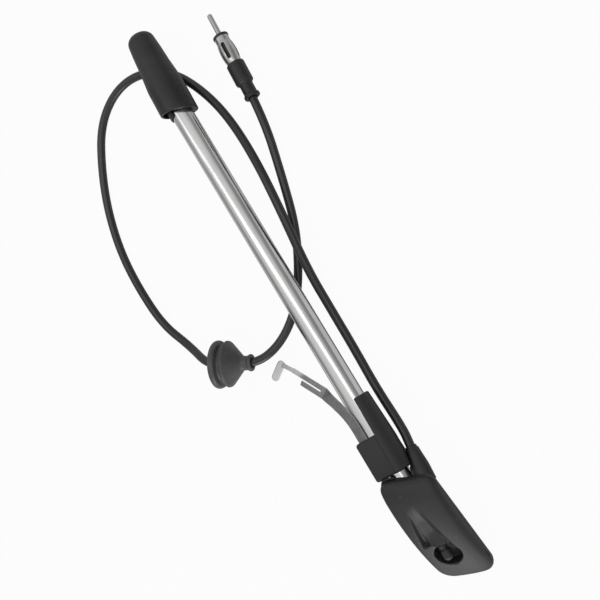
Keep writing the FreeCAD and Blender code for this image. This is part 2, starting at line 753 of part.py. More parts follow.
def earth_strip():
    """A folded steel strip: slit at its free end, the longer prong carrying a rounded earth pad."""
    start, across = strip_stations()[3]
    tip = strip_stations()[4][0]
    way = tip.sub(start)
    run = way.Length
    way.normalize()
    up = way.cross(across).normalize()
    across = up.cross(way).normalize()
    frame = Placement(start, Rotation(way, across, up, "XYZ"))
    thickness, width, slit = size("strip_thickness"), size("strip_width"), size("strip_slit")
    slot = Part.makeBox(run, slit, 6 * thickness, Vector(size("slit_root"), -slit / 2, -3 * thickness))
    short_prong = Part.makeBox(run, width, 6 * thickness,
                               Vector(run - size("prong_step"), slit / 2, -3 * thickness))
    strip = strip_loft(0)
    for tool in (slot, short_prong):
        tool.Placement = frame
        strip = strip.cut(tool)
    pad_length, pad_width = size("pad_length"), size("pad_width")
    prong = (width - slit) / 2
    pad = Part.makeBox(pad_length, pad_width, thickness, Vector(0, -pad_width / 2, 0))
    pad = pad.makeFillet(pad_width * 0.45, [
        edge for edge in pad.Edges if abs(edge.tangentAt(edge.FirstParameter).z) > 0.9])
    prong_end = tip - across * (slit / 2 + prong / 2) - way * 1.0
    corner = Vector(prong_end.x - size("pad_back"), prong_end.y - size("pad_side"), size("pad_height"))
    pad.Placement = Placement(corner, Rotation(Z_AXIS, size("pad_angle")))
    pad_top = pad.Placement.multVec(Vector(pad_width * 0.45, pad_width * 0.1, thickness / 2))
    pad_side = pad.Placement.Rotation.multVec(X_AXIS)
    sections = []
    for centre, side in ((prong_end, across), (pad_top, pad_side)):
        half, thick = side * (prong / 2 - 0.2), up * (thickness / 2 - 0.02)
        sections.append(flat_section(centre, half, thick))
    neck = Part.makeLoft(sections, True, True)
    result = doc.addObject("Part::Feature", "earth_strip")
    result.Shape = strip.fuse([neck, pad]).removeSplitter()
    return result


def strip_room():
    """The space that the collar leaves for the strip."""
    room = doc.addObject("Part::Feature", "collar_strip_room")
    room.Shape = strip_loft(size("fit_gap"))
    return room


def collar():
    """The moulding that grips the tube: a tapered half sleeve and a box over the strip."""
    box_start = "-Sizes.collar_end - Sizes.collar_length"
    start = box_start + " - Sizes.sleeve_length"
    length = "Sizes.collar_length + Sizes.sleeve_length"
    profile = [("0", "0"), (length, "0"), (length, "Sizes.sleeve_end_radius"), ("0", "Sizes.sleeve_radius")]
    whole = on_mast(turned("collar_sleeve_whole", profile, [
        ("Sizes.sleeve_rounding",
         [("0", "Sizes.sleeve_radius"), (length, "Sizes.sleeve_end_radius")])]), start)
    wide = "2 * Sizes.sleeve_end_radius"
    near = block("collar_sleeve_side", (start, "Sizes.sleeve_edge", "-" + wide),
                 (length, wide, "2 * " + wide))
    sleeve = boolean("Common", "collar_sleeve", whole, [near])
    box = block("collar_block", (box_start, "-Sizes.box_far", "-Sizes.box_bottom"),
                ("Sizes.collar_length", "Sizes.box_far + Sizes.box_near", "Sizes.box_top + Sizes.box_bottom"))
    doc.recompute()
    rounded = doc.addObject("Part::Fillet", "collar_box")
    rounded.Base = box
    radius = size("box_rounding")
    inner_face = size("row_y") + size("box_near") - 1e-3
    rounded.Edges = [(number, radius, radius) for number, edge in enumerate(box.Shape.Edges, start=1)
                     if edge.CenterOfMass.y < inner_face]
    body = fused("collar_body", [sleeve, rounded])
    return boolean("Cut", "collar", body, [
        mast_rod("collar_bore", TUBE_RADIUS + " + Sizes.fit_gap", start + " - Sizes.sleeve_length",
                 "3 * Sizes.sleeve_length + Sizes.collar_length"),
        gland_rod("collar_cable_room", "Sizes.gland_root + Sizes.pass_gap", "2 * Sizes.gland_length"),
        strip_room()])


BOOT_TIP = "(Sizes.tube_tail + Sizes.boot_reach)"
BOOT_MOUTH = "(Sizes.tube_tail - Sizes.boot_grip)"


def end_boot():
    """The rubber boot on the tube's tail: closed, leaning, swelling towards a slanted mouth, with a pocket
    and a half lip beside the tube."""
    length = "Sizes.boot_reach + Sizes.boot_grip + Sizes.boot_pocket"
    profile = [("0", "0"), (length, "0"), (length, "Sizes.boot_mouth_radius"),
               ("Sizes.boot_swell", "Sizes.boot_swell_radius"),
               ("Sizes.boot_waist", "Sizes.boot_waist_radius"),
               ("Sizes.boot_cap", "Sizes.boot_cap_radius"), ("0", "Sizes.boot_end_radius")]
    stem = turned("boot_stem", profile, [("Sizes.boot_rounding", [("0", "Sizes.boot_end_radius")])])
    stem.Placement = Placement(
        row_point(-value(BOOT_TIP), value("Sizes.boot_pivot * tan(Sizes.boot_lean * 1deg)"),
                  value(AXIS_HEIGHT)),
        Rotation(Z_AXIS, -size("boot_lean")))
    pocket_end = BOOT_MOUTH + " + Sizes.boot_pocket"
    pocket = rod("boot_pocket_room", "Sizes.boot_pocket_radius", "3 * Sizes.boot_pocket", Placement(
        row_point(-value(pocket_end), -size("boot_pocket_side"), value(AXIS_HEIGHT)), Rotation()))
    trim = doc.addObject("Part::Box", "boot_trim")
    for side in ("Length", "Width", "Height"):
        trim.setExpression(side, "2 * Sizes.boot_reach")
    half = size("boot_reach")
    trim.Placement = Placement(
        row_point(-value(BOOT_MOUTH), size("boot_mouth_radius"), value(AXIS_HEIGHT)),
        Rotation(Z_AXIS, -size("boot_slant"))).multiply(Placement(Vector(0, -half, -half), Rotation()))
    shell = boolean("Cut", "boot_shell", stem, [trim, pocket])
    lip_start = "-(%s) - Sizes.boot_lip_wall" % pocket_end
    lip_length = "Sizes.boot_pocket - Sizes.boot_grip + Sizes.boot_lip + Sizes.boot_lip_wall"
    wide = "2 * Sizes.boot_mouth_radius"
    lip = boolean("Common", "boot_lip_half",
                  mast_rod("boot_lip_sleeve", TUBE_RADIUS + " + Sizes.boot_lip_wall", lip_start, lip_length),
                  [block("boot_lip_side", (lip_start, "-Sizes.boot_lip_edge - " + wide, "-" + wide),
                         (lip_length, wide, "2 * " + wide))])
    bore = mast_rod("boot_tube_bore", TUBE_RADIUS + " + Sizes.fit_gap",
                    "-Sizes.tube_tail - Sizes.tail_flange - Sizes.fit_gap", "Sizes.tube_tail")
    return boolean("Cut", "end_boot", fused("boot_body", [shell, lip]), [bore])


# Cable: the route's corners from the step, the mast's axis and the floor, from the gland to the plug
GROMMET_START = row_point(-143.5, -63.7, 14.5)
GROMMET_WAY = Vector(0.464, 0.883, -0.1).normalize()
PLUG_START = row_point(-257.3, 37.9, size("plug_height"))
PLUG_WAY = Vector(-55.0, 3.6, 0).normalize()
REST = size("cable_diameter") / 2 + size("fit_gap")
ROUTE = [
    GLAND_START + GLAND_WAY * 2.0,
    GLAND_START + GLAND_WAY * (size("gland_length") + 10.5),
    row_point(-84.0, 9.4, 3.0),
    row_point(-109.0, 10.2, REST),
    row_point(-134.0, 10.6, 2.7),
    row_point(-160.0, 12.6, 6.6),
    row_point(-194.0, 18.9, 11.0),
    row_point(-228.0, 21.4, 9.2),
    row_point(-260.0, 18.2, REST),
    row_point(-284.0, 12.4, REST),
    row_point(-304.0, 2.0, REST),
    row_point(-317.5, -17.0, REST),
    row_point(-318.8, -37.5, REST),
    row_point(-308.2, -57.4, REST),
    row_point(-286.0, -72.3, REST),
    row_point(-263.0, -83.0, REST),
    row_point(-237.0, -89.8, REST),
    row_point(-211.0, -91.3, REST),
    row_point(-184.0, -89.2, REST),
    row_point(-163.5, -79.6, 3.4),
    GROMMET_START - GROMMET_WAY * 5.0,
    GROMMET_START + GROMMET_WAY * (size("grommet_length") + 4.5),
    row_point(-134.4, -23.8, 5.8),
    row_point(-146.0, -7.5, REST),
    row_point(-163.5, 6.6, REST),
    row_point(-184.5, 18.4, REST),
    row_point(-211.0, 26.8, 2.9),
    PLUG_START - PLUG_WAY * 12.0,
    PLUG_START + PLUG_WAY * size("cable_in_plug"),
]


def cable_path():
    """Straight runs joined by tangent arcs, each as large as its two runs allow."""
    edges = []
    reached = ROUTE[0]
    for before, corner, after in zip(ROUTE, ROUTE[1:], ROUTE[2:]):
        into, out = corner.sub(before), after.sub(corner)
        turn = into.getAngle(out)
        reach = 0.45 * min(into.Length, out.Length)
        print("cable corner %d: turn %.0f deg, radius %.1f, run %.1f" % (
            ROUTE.index(corner), math.degrees(turn), reach / math.tan(turn / 2), into.Length))
        into.normalize()
        out.normalize()
        start, end = corner - into * reach, corner + out * reach
        middle = corner + (out - into).normalize() * arc_depth(reach, turn)
        edges.append(Part.LineSegment(reached, start).toShape())
        edges.append(Part.Arc(start, middle, end).toShape())
        reached = end
    edges.append(Part.LineSegment(reached, ROUTE[-1]).toShape())
    return Part.Wire(edges)


def arc_depth(reach, turn):
    """How far an arc passes inside its corner."""
    radius = reach / math.tan(turn / 2)
    return radius / math.cos(turn / 2) - radius


def coax_cable():
    spine = doc.addObject("Part::Feature", "cable_spine")
    spine.Shape = cable_path()
    section = doc.addObject("Part::Circle", "cable_section")
    section.setExpression("Radius", CABLE_RADIUS)
    section.Placement = Placement(ROUTE[0], Rotation(Z_AXIS, ROUTE[1].sub(ROUTE[0])))
    cable = doc.addObject("Part::Sweep", "coax_cable")
    cable.Sections = [section]
    cable.Spine = (spine, ["Edge%d" % number for number in range(1, len(spine.Shape.Edges) + 1)])
    cable.Solid = True
    cable.Frenet = False
    doc.recompute()
    expected = math.pi * value(CABLE_RADIUS) ** 2 * spine.Shape.Length
    print("cable length %.1f mm, volume over section times length %.4f" % (
        spine.Shape.Length, cable.Shape.Volume / expected))
    return cable


def cable_gland():
    """The strain relief: a sleeve through the base plate and a tapered tail below it."""
    inside = "Sizes.gland_inside"
    length = "Sizes.gland_length"
    profile = [("0", CABLE_HOLE), (length, CABLE_HOLE), (length, "Sizes.gland_tip_radius"),
               (inside, "Sizes.gland_root"), (inside, "Sizes.gland_inner_radius"),
               ("0", "Sizes.gland_inner_radius")]
    return along(turned("cable_gland", profile), GLAND_START, GLAND_WAY)


def cable_grommet():
    """A panel grommet: thick flange, groove for the panel's edge, cone, neck and end bead."""
    bore = CABLE_RADIUS + " + Sizes.pass_gap"
    groove = "Sizes.grommet_flange"
    rim = "Sizes.grommet_flange + Sizes.groove_width"
    cone = "Sizes.grommet_flange + Sizes.groove_width + Sizes.grommet_rim"
    length = "Sizes.grommet_length"
    bead = "Sizes.grommet_length - Sizes.grommet_bead"
    neck = "Sizes.grommet_length - Sizes.grommet_bead - Sizes.grommet_neck"
    profile = [("0", bore + " + Sizes.grommet_flare"), (cone, bore), (length, bore),
               (length, "Sizes.grommet_bead_radius"),
               (bead, "Sizes.grommet_bead_radius"), (bead, "Sizes.grommet_neck_radius"),
               (neck, "Sizes.grommet_neck_radius"), (cone, "Sizes.grommet_rim_radius"),
               (rim, "Sizes.grommet_rim_radius"), (rim, "Sizes.groove_radius"),
               (groove, "Sizes.groove_radius"), (groove, "Sizes.grommet_radius"),
               ("0", "Sizes.grommet_radius")]
    rounds = [("Sizes.grommet_flange * 0.4",
               [("0", "Sizes.grommet_radius"), (groove, "Sizes.grommet_radius")]),
              ("Sizes.grommet_bead * 0.3", [(length, "Sizes.grommet_bead_radius"),
                                             (bead, "Sizes.grommet_bead_radius")])]
    return along(turned("cable_grommet", profile, rounds), GROMMET_START, GROMMET_WAY)


BARREL_START = "Sizes.plug_boot_length - Sizes.barrel_tail"
BARREL_END = "Sizes.plug_boot_length + Sizes.barrel_length"


def plug_boot():
    """The moulded boot of the plug: end collar, slim neck and thick grip around the barrel's tail."""
    length = "Sizes.plug_boot_length"
    collar_edge = "Sizes.plug_collar"
    neck = "Sizes.plug_collar + Sizes.plug_neck"
    taper = "Sizes.plug_collar + Sizes.plug_neck + Sizes.plug_boot_radius - Sizes.plug_neck_radius"
    seat = BARREL_START + " - Sizes.fit_gap"
    tail = "Sizes.barrel_tail_radius + Sizes.fit_gap"
    profile = [("0", CABLE_HOLE), (seat, CABLE_HOLE), (seat, tail), (length, tail),
               (length, "Sizes.plug_boot_radius"), (taper, "Sizes.plug_boot_radius"),
               (neck, "Sizes.plug_neck_radius"), (collar_edge, "Sizes.plug_neck_radius"),
               (collar_edge, "Sizes.plug_collar_radius"), ("0", "Sizes.plug_collar_radius")]
    rounds = [("Sizes.plug_collar * 0.3", [("0", "Sizes.plug_collar_radius"),
                                           (collar_edge, "Sizes.plug_collar_radius")]),
              ("Sizes.plug_collar * 0.3", [(length, "Sizes.plug_boot_radius")])]
    return along(turned("plug_boot", profile, rounds), PLUG_START, PLUG_WAY)


def barrel_window(name, turn):
    """A slot with round ends, through both sides of the barrel."""
    radius = "Sizes.window_width / 2"
    straight = "Sizes.window_length - Sizes.window_width"
    height = "4 * Sizes.barrel_bulge_radius"
    root = value("Sizes.plug_boot_length + Sizes.window_root + " + radius)
    frame = Placement(PLUG_START + PLUG_WAY * root, Rotation(X_AXIS, PLUG_WAY)).multiply(
        Placement(Vector(), Rotation(X_AXIS, turn)))
    middle = doc.addObject("Part::Box", name + "_middle")
    for side, expression in (("Length", straight), ("Width", "Sizes.window_width"), ("Height", height)):
        middle.setExpression(side, expression)
    middle.Placement = frame.multiply(
        Placement(Vector(0, -value(radius), -value(height) / 2), Rotation()))
    ends = []
    for order, shift in enumerate((0, value(straight))):
        end = doc.addObject("Part::Cylinder", "%s_end_%d" % (name, order))
        end.setExpression("Radius", radius)
        end.setExpression("Height", height)
        end.Placement = frame.multiply(Placement(Vector(shift, 0, -value(height) / 2), Rotation()))
        ends.append(end)
    return fused(name, [middle] + ends)


def plug_barrel():
    """The bulged spring barrel of the plug, with four long windows behind a plain front ring."""
    tail = "Sizes.barrel_tail"
    length = "Sizes.barrel_tail + Sizes.barrel_length"
    ring_edge = "Sizes.barrel_tail + Sizes.barrel_length - Sizes.barrel_ring"
    middle = "Sizes.barrel_tail + (Sizes.barrel_length - Sizes.barrel_ring) / 2"
    bore = "Sizes.barrel_bore_radius"
    profile = [("0", bore), ("0", "Sizes.barrel_tail_radius"), (tail, "Sizes.barrel_tail_radius"),
               (ring_edge, "Sizes.barrel_end_radius", middle, "Sizes.barrel_bulge_radius"),
               (length, "Sizes.barrel_end_radius"), (length, bore)]
    whole = along(turned("barrel_whole", profile), PLUG_START + PLUG_WAY * value(BARREL_START), PLUG_WAY)
    windows = [barrel_window("barrel_window_%d" % order, size("window_turn") + 90 * order)
               for order in range(2)]
    return boolean("Cut", "plug_barrel", whole, windows)


def plug_insulator():
    """The insulating ring in the barrel's front, which carries the pin."""
    depth = "Sizes.insulator_depth"
    length = "Sizes.insulator_depth + Sizes.fit_gap + Sizes.insulator_flange"
    hole = "Sizes.pin_tail_diameter / 2 + Sizes.fit_gap"
    inner = "Sizes.barrel_bore_radius - Sizes.fit_gap"
    front = "Sizes.insulator_depth + Sizes.fit_gap"
    outer = "Sizes.insulator_radius"
    profile = [("0", hole), (length, hole), (length, outer), (front, outer), (front, inner), ("0", inner)]
    rounds = [("Sizes.insulator_flange * 0.3", [(length, outer), (front, outer)])]
    spot = PLUG_START + PLUG_WAY * value(BARREL_END + " - " + depth)
    return along(turned("plug_insulator", profile, rounds), spot, PLUG_WAY)


def plug_pin():
    """The plug's centre pin: its thinner tail goes through the insulator."""
    length = "Sizes.pin_tail + Sizes.pin_length"
    shoulder = "Sizes.pin_tail + Sizes.insulator_flange + 2 * Sizes.fit_gap"
    radius = "Sizes.pin_diameter / 2"
    tail = "Sizes.pin_tail_diameter / 2"
    profile = [("0", "0"), (length, "0"), (length, radius), (shoulder, radius), (shoulder, tail),
               ("0", tail)]
    spot = PLUG_START + PLUG_WAY * value(BARREL_END + " - Sizes.pin_tail")
    return along(turned("plug_pin", profile, [("Sizes.pin_rounding", [(length, radius)])]), spot, PLUG_WAY)


PIECES = [
    sheath_tube, tail_plug, guide_bush, contact_bush, mast_lower, lower_glide, mast_middle, middle_foot,
    mast_upper, upper_foot, mast_knob, head_cover, panel_seal, base_plate, base_screws, collar, earth_strip,
    end_boot, coax_cable, cable_gland, cable_grommet, plug_boot, plug_barrel, plug_insulator, plug_pin,
]
parts = []
for make in PIECES:
    part = make()
    part.Label = make.__name__
    parts.append(part)
doc.recompute()

for item in doc.Objects:
    if "Invalid" in item.State or "Error" in item.State:
        raise RuntimeError("%s failed: %s" % (item.Name, item.State))
for part in parts:
    if part.Shape.isNull() or not part.Shape.isValid() or not part.Shape.Solids:
        raise RuntimeError("%s has no valid shape" % part.Label)

os.makedirs("parts", exist_ok=True)
for part in parts:
    part.Shape.exportStep("parts/%s.step" % part.Label)
    box = part.Shape.BoundBox
    print("%-15s solids %d volume %9.1f  x %7.2f %7.2f  y %7.2f %7.2f  z %6.2f %6.2f" % (
        part.Label, len(part.Shape.Solids), part.Shape.Volume, box.XMin, box.XMax, box.YMin, box.YMax,
        box.ZMin, box.ZMax))
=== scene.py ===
import bmesh
import bpy
import json
import math
from mathutils import Matrix, Vector
from mathutils.bvhtree import BVHTree


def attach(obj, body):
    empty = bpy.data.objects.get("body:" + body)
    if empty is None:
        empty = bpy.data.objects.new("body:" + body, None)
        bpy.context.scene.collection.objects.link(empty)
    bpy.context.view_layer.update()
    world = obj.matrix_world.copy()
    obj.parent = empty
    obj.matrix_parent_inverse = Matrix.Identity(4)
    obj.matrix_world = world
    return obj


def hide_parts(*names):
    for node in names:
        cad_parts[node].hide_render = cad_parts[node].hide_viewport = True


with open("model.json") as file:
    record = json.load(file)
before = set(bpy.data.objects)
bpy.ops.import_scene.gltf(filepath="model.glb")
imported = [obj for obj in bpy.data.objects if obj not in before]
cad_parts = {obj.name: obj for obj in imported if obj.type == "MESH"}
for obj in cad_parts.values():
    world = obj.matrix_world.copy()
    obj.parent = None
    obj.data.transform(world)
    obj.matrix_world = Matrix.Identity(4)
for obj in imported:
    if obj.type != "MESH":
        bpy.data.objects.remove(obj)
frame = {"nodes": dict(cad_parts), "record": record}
nodes = frame["nodes"]
slotOf = {entry["node"]: entry["material_slot"] for entry in frame["record"]["subparts"]}
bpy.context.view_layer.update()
scene = bpy.context.scene
scene.view_settings.view_transform = "Standard"
print("frame loaded:", len(nodes), "nodes")


def feed(tree, slot, given):  # a link or a plain value, into one input
    if isinstance(given, Wire):
        tree.links.new(given.socket, slot)
    else:
        slot.default_value = given


class Wire:  # one output socket; arithmetic on it adds Math nodes
    def __init__(self, tree, socket):
        self.tree = tree
        self.socket = socket

    def combine(self, operation, first, second):
        node = self.tree.nodes.new("ShaderNodeMath")
        node.operation = operation
        for slot, part in zip(node.inputs, (first, second)):
            feed(self.tree, slot, part)
        return Wire(self.tree, node.outputs[0])

    def __add__(self, other):
        return self.combine("ADD", self, other)

    def __radd__(self, other):
        return self.combine("ADD", other, self)

    def __sub__(self, other):
        return self.combine("SUBTRACT", self, other)

    def __rsub__(self, other):
        return self.combine("SUBTRACT", other, self)

    def __mul__(self, other):
        return self.combine("MULTIPLY", self, other)

    def __rmul__(self, other):
        return self.combine("MULTIPLY", other, self)


class Finish:  # the node tree of a material or a world, and the ways its nodes are made
    def __init__(self, owner, coordinates="Object"):
        owner.use_nodes = True
        self.owner = owner
        self.tree = owner.node_tree
        self.place = self.add("ShaderNodeTexCoord", output=coordinates)

    def add(self, kind, settings=None, sockets=None, output=0):
        node = self.tree.nodes.new(kind)
        for key, setting in (settings or {}).items():
            if key == "stops":
                self.setStops(node.color_ramp, setting)
            else:
                setattr(node, key, setting)
        for key, given in (sockets or {}).items():
            feed(self.tree, node.inputs[key], given)
        return Wire(self.tree, node.outputs[output])

    def setStops(self, ramp, stops):  # each stop is a position and a grey
        while len(ramp.elements) < len(stops):
            ramp.elements.new(0.5)
        for element, (position, grey) in zip(ramp.elements, stops):
            element.position = position
            element.color = (grey, grey, grey, 1.0)

    def noise(self, scale, detail, rough):  # three scales, one for each axis, draw the noise out
        vector = self.place
        if isinstance(scale, tuple):
            vector = self.add("ShaderNodeMapping", None, {"Vector": self.place, "Scale": scale})
            scale = 1.0
        return self.add("ShaderNodeTexNoise", None, {
            "Vector": vector, "Scale": scale, "Detail": detail, "Roughness": rough}, "Fac")

    def mask(self, fac, low, high):  # 0 below low, 1 above high
        return self.add("ShaderNodeMapRange", {"interpolation_type": "SMOOTHSTEP"}, {
            "Value": fac, "From Min": low, "From Max": high})

    def patches(self, noise, limits):  # a noise, cut to patches
        return self.mask(self.noise(*noise), *limits)

    def shades(self, fac, dark, light):  # a colour between two, by a value
        firstColour, secondColour, mixedColour = 6, 7, 2  # a Mix node's names for them serve its numbers too
        sockets = {"Factor": fac}
        for key, shade in ((firstColour, dark), (secondColour, light)):
            sockets[key] = shade if isinstance(shade, Wire) else (*shade, 1.0)
        return self.add("ShaderNodeMix", {"data_type": "RGBA"}, sockets, mixedColour)

    def edges(self, low, high):  # convex edges, from the mesh's own pointiness
        return self.mask(self.add("ShaderNodeNewGeometry", output="Pointiness"), low, high)

    def axis(self, letter):  # one coordinate of the place
        return self.add("ShaderNodeSeparateXYZ", None, {"Vector": self.place}, letter)

    def bump(self, height, depth, strength):
        return self.add("ShaderNodeBump", None, {
            "Height": height, "Distance": depth, "Strength": strength}, "Normal")

    def rays(self, kind):  # 1 for rays of one kind
        return self.add("ShaderNodeLightPath", output="Is %s Ray" % kind)

    def shade(self, **sockets):
        shader = self.tree.nodes["Principled BSDF"]
        for key, given in sockets.items():
            feed(self.tree, shader.inputs[key.replace("_", " ")], given)
        return self.owner

    def blend(self, outputName, factor, first, second):  # two shaders, mixed, as the tree's surface
        mixed = self.add("ShaderNodeMixShader", None, {0: factor, 1: first, 2: second})
        feed(self.tree, self.tree.nodes[outputName].inputs["Surface"], mixed)


# In every look, a noise is its scale, detail and roughness, a pair named From is where its patches
# start and where they are full, and a bump is its depth in metres and its strength.
plasticLook = {
    "dark": (0.0150, 0.0150, 0.0154), "light": (0.0250, 0.0250, 0.0254), "worn": (0.046, 0.046, 0.046),
    "cloud": (55.0, 4.0, 0.6), "grain": (4200.0, 2.0, 0.6), "bump": (0.00003, 0.5),
    "scuff": ((140.0, 900.0, 900.0), 4.0, 0.7), "scuffFrom": (0.60, 0.74),
    "edges": (0.52, 0.60), "wear": (320.0, 4.0, 0.6), "wearFrom": (0.38, 0.62), "wornShare": 0.8,
    "rough": 0.43, "cloudRough": 0.12, "scuffRough": 0.07, "wornShine": 0.08, "specular": 0.42,
}


def blackPlastic(look):  # moulded cover, plate, collar and knob: satin black with a fine spark grain
    finish = Finish(bpy.data.materials.new("blackPlastic"))
    cloud = finish.noise(*look["cloud"])
    grain = finish.noise(*look["grain"])
    scuff = finish.patches(look["scuff"], look["scuffFrom"])
    worn = finish.edges(*look["edges"]) * finish.patches(look["wear"], look["wearFrom"])
    colour = finish.shades(cloud, look["dark"], look["light"])
    colour = finish.shades(worn * look["wornShare"], colour, look["worn"])
    rough = look["rough"] + cloud * look["cloudRough"] + scuff * look["scuffRough"]
    rough = rough - worn * look["wornShine"]
    return finish.shade(Base_Color=colour, Roughness=rough, Specular_IOR_Level=look["specular"],
                        Normal=finish.bump(grain, *look["bump"]))


rubberLook = {
    "dark": (0.0060, 0.0060, 0.0062), "light": (0.0140, 0.0140, 0.0140), "bloom": (0.030, 0.030, 0.029),
    "cloud": (48.0, 5.0, 0.62), "cloudFrom": (0.3, 0.7), "streak": ((26.0, 420.0, 420.0), 4.0, 0.6),
    "cloudBloom": 0.6, "streakBloom": 0.4, "bloomFrom": (0.50, 0.72), "bloomShare": 0.5,
    "edges": (0.51, 0.58), "wear": (260.0, 4.0, 0.6), "wearFrom": (0.35, 0.65), "rubbedShare": 0.4,
    "rough": 0.36, "cloudRough": 0.14, "bloomRough": 0.1, "specular": 0.50,
    "pores": (2400.0, 3.0, 0.55), "dimple": (420.0, 2.0, 0.5), "drag": ((16.0, 210.0, 210.0), 2.0, 0.5),
    "poreHeight": 0.3, "dimpleHeight": 0.6, "dragHeight": 5.0, "bump": (0.00008, 0.6),
}
greyerLook = {
    **rubberLook,
    "dark": (0.0480, 0.0480, 0.0484), "light": (0.0700, 0.0700, 0.0700), "bloom": (0.094, 0.094, 0.092),
}


def blackRubber(name, look):  # boots, seal and gland, and greyer the grommet: matt, with a faint bloom
    finish = Finish(bpy.data.materials.new(name))
    cloud = finish.noise(*look["cloud"])
    streak = finish.noise(*look["streak"])
    pores = finish.noise(*look["pores"])
    dimple = finish.noise(*look["dimple"])
    drag = finish.noise(*look["drag"])
    bloom = finish.mask(cloud * look["cloudBloom"] + streak * look["streakBloom"], *look["bloomFrom"])
    rubbed = finish.edges(*look["edges"]) * finish.patches(look["wear"], look["wearFrom"])
    colour = finish.shades(finish.mask(cloud, *look["cloudFrom"]), look["dark"], look["light"])
    colour = finish.shades(bloom * look["bloomShare"] + rubbed * look["rubbedShare"], colour, look["bloom"])
    rough = look["rough"] + cloud * look["cloudRough"] + bloom * look["bloomRough"]
    height = pores * look["poreHeight"] + dimple * look["dimpleHeight"] + drag * look["dragHeight"]
    return finish.shade(Base_Color=colour, Roughness=rough, Specular_IOR_Level=look["specular"],
                        Normal=finish.bump(height, *look["bump"]))


jacketLook = {
    "dark": (0.0130, 0.0130, 0.0134), "light": (0.0230, 0.0230, 0.0234), "dusty": (0.05, 0.05, 0.048),
    "cloud": (70.0, 4.0, 0.6), "skin": (1800.0, 2.0, 0.5), "bump": (0.00003, 0.4),
    "dust": (230.0, 4.0, 0.6), "dustFrom": (0.56, 0.72), "dustShare": 0.25,
    "rough": 0.24, "cloudRough": 0.12, "dustRough": 0.06, "specular": 0.50,
}


def cableJacket(look):  # extruded cable skin, a little dusty
    finish = Finish(bpy.data.materials.new("cableJacket"))
    cloud = finish.noise(*look["cloud"])
    skin = finish.noise(*look["skin"])
    dust = finish.patches(look["dust"], look["dustFrom"])
    colour = finish.shades(cloud, look["dark"], look["light"])
    colour = finish.shades(dust * look["dustShare"], colour, look["dusty"])
    rough = look["rough"] + cloud * look["cloudRough"] + dust * look["dustRough"]
    return finish.shade(Base_Color=colour, Roughness=rough, Specular_IOR_Level=look["specular"],
                        Normal=finish.bump(skin, *look["bump"]))


tubeLook = {
    "bright": (0.74, 0.74, 0.735), "dull": (0.58, 0.58, 0.58),
    "lines": ((7.0, 1500.0, 1500.0), 3.0, 0.6), "bump": (0.00002, 0.25),
    "patch": ((26.0, 120.0, 120.0), 4.0, 0.6), "patchFrom": (0.46, 0.74),
    "ticks": ((240.0, 1300.0, 1300.0), 3.0, 0.6), "ticksFrom": (0.66, 0.74),
    "rough": 0.13, "linesRough": 0.06, "patchRough": 0.07, "ticksRough": 0.08,
}


def polishedTube(look):  # drawn tube: long faint draw lines and a few duller patches
    finish = Finish(bpy.data.materials.new("polishedTube"))
    lines = finish.noise(*look["lines"])
    patch = finish.patches(look["patch"], look["patchFrom"])
    ticks = finish.patches(look["ticks"], look["ticksFrom"])
    colour = finish.shades(patch, look["bright"], look["dull"])
    rough = look["rough"] + lines * look["linesRough"] + patch * look["patchRough"]
    rough = rough + ticks * look["ticksRough"]
    return finish.shade(Base_Color=colour, Metallic=1.0, Roughness=rough,
                        Normal=finish.bump(lines, *look["bump"]))


mastLook = {
    "dull": (0.66, 0.66, 0.66), "bright": (0.78, 0.78, 0.78),
    "lines": ((9.0, 2600.0, 2600.0), 3.0, 0.6), "bump": (0.00001, 0.3),
    "rough": 0.10, "linesRough": 0.10,
}


def brightMast(look):  # plated mast sections
    finish = Finish(bpy.data.materials.new("brightMast"))
    lines = finish.noise(*look["lines"])
    return finish.shade(Base_Color=finish.shades(lines, look["dull"], look["bright"]), Metallic=1.0,
                        Roughness=look["rough"] + lines * look["linesRough"],
                        Normal=finish.bump(lines, *look["bump"]))


zincLook = {
    "dark": (0.22, 0.223, 0.226), "light": (0.38, 0.383, 0.386), "brightEdgesAndPaintedHighlight": (0.74, 0.74, 0.73),
    "spangle": 520.0, "spangleShare": 0.3, "cloud": (160.0, 4.0, 0.6), "cloudShare": 0.7,
    "marks": ((180.0, 1100.0, 700.0), 4.0, 0.7), "bump": (0.00003, 0.35),
    "edges": (0.52, 0.60), "edgeShare": 0.7,
    "highlightFade": (0.0365, 0.0400),  # along X; the strip's end below it is made lighter, a painted highlight
    "highlightShare": 0.75, "highlightCloud": 0.25,
    "rough": 0.30, "cloudRough": 0.16, "marksRough": 0.1,
}


def zincSteel(look):  # plated strip and screws: soft spangle, handling marks, brighter edges, a painted highlight on the strip's end
    finish = Finish(bpy.data.materials.new("zincSteel"))
    spangle = finish.add("ShaderNodeTexVoronoi", {"feature": "F1"}, {
        "Vector": finish.place, "Scale": look["spangle"]}, "Color")
    tone = finish.add("ShaderNodeSeparateColor", None, {"Color": spangle})
    cloud = finish.noise(*look["cloud"])
    marks = finish.noise(*look["marks"])
    # painted highlight: the strip's end, its fork and pad, is painted lighter in place of the light it
    # catches; convex edges are made brighter too
    paintedHighlightEnd = 1.0 - finish.mask(finish.axis("X"), *look["highlightFade"])
    brightEdgesAndPaintedHighlight = finish.edges(*look["edges"]) * look["edgeShare"]
    brightEdgesAndPaintedHighlight = brightEdgesAndPaintedHighlight + paintedHighlightEnd * (look["highlightShare"] + cloud * look["highlightCloud"])
    mottle = tone * look["spangleShare"] + cloud * look["cloudShare"]
    colour = finish.shades(mottle, look["dark"], look["light"])
    return finish.shade(Base_Color=finish.shades(brightEdgesAndPaintedHighlight, colour, look["brightEdgesAndPaintedHighlight"]), Metallic=1.0,
                        Roughness=look["rough"] + cloud * look["cloudRough"] + marks * look["marksRough"],
                        Normal=finish.bump(marks, *look["bump"]))


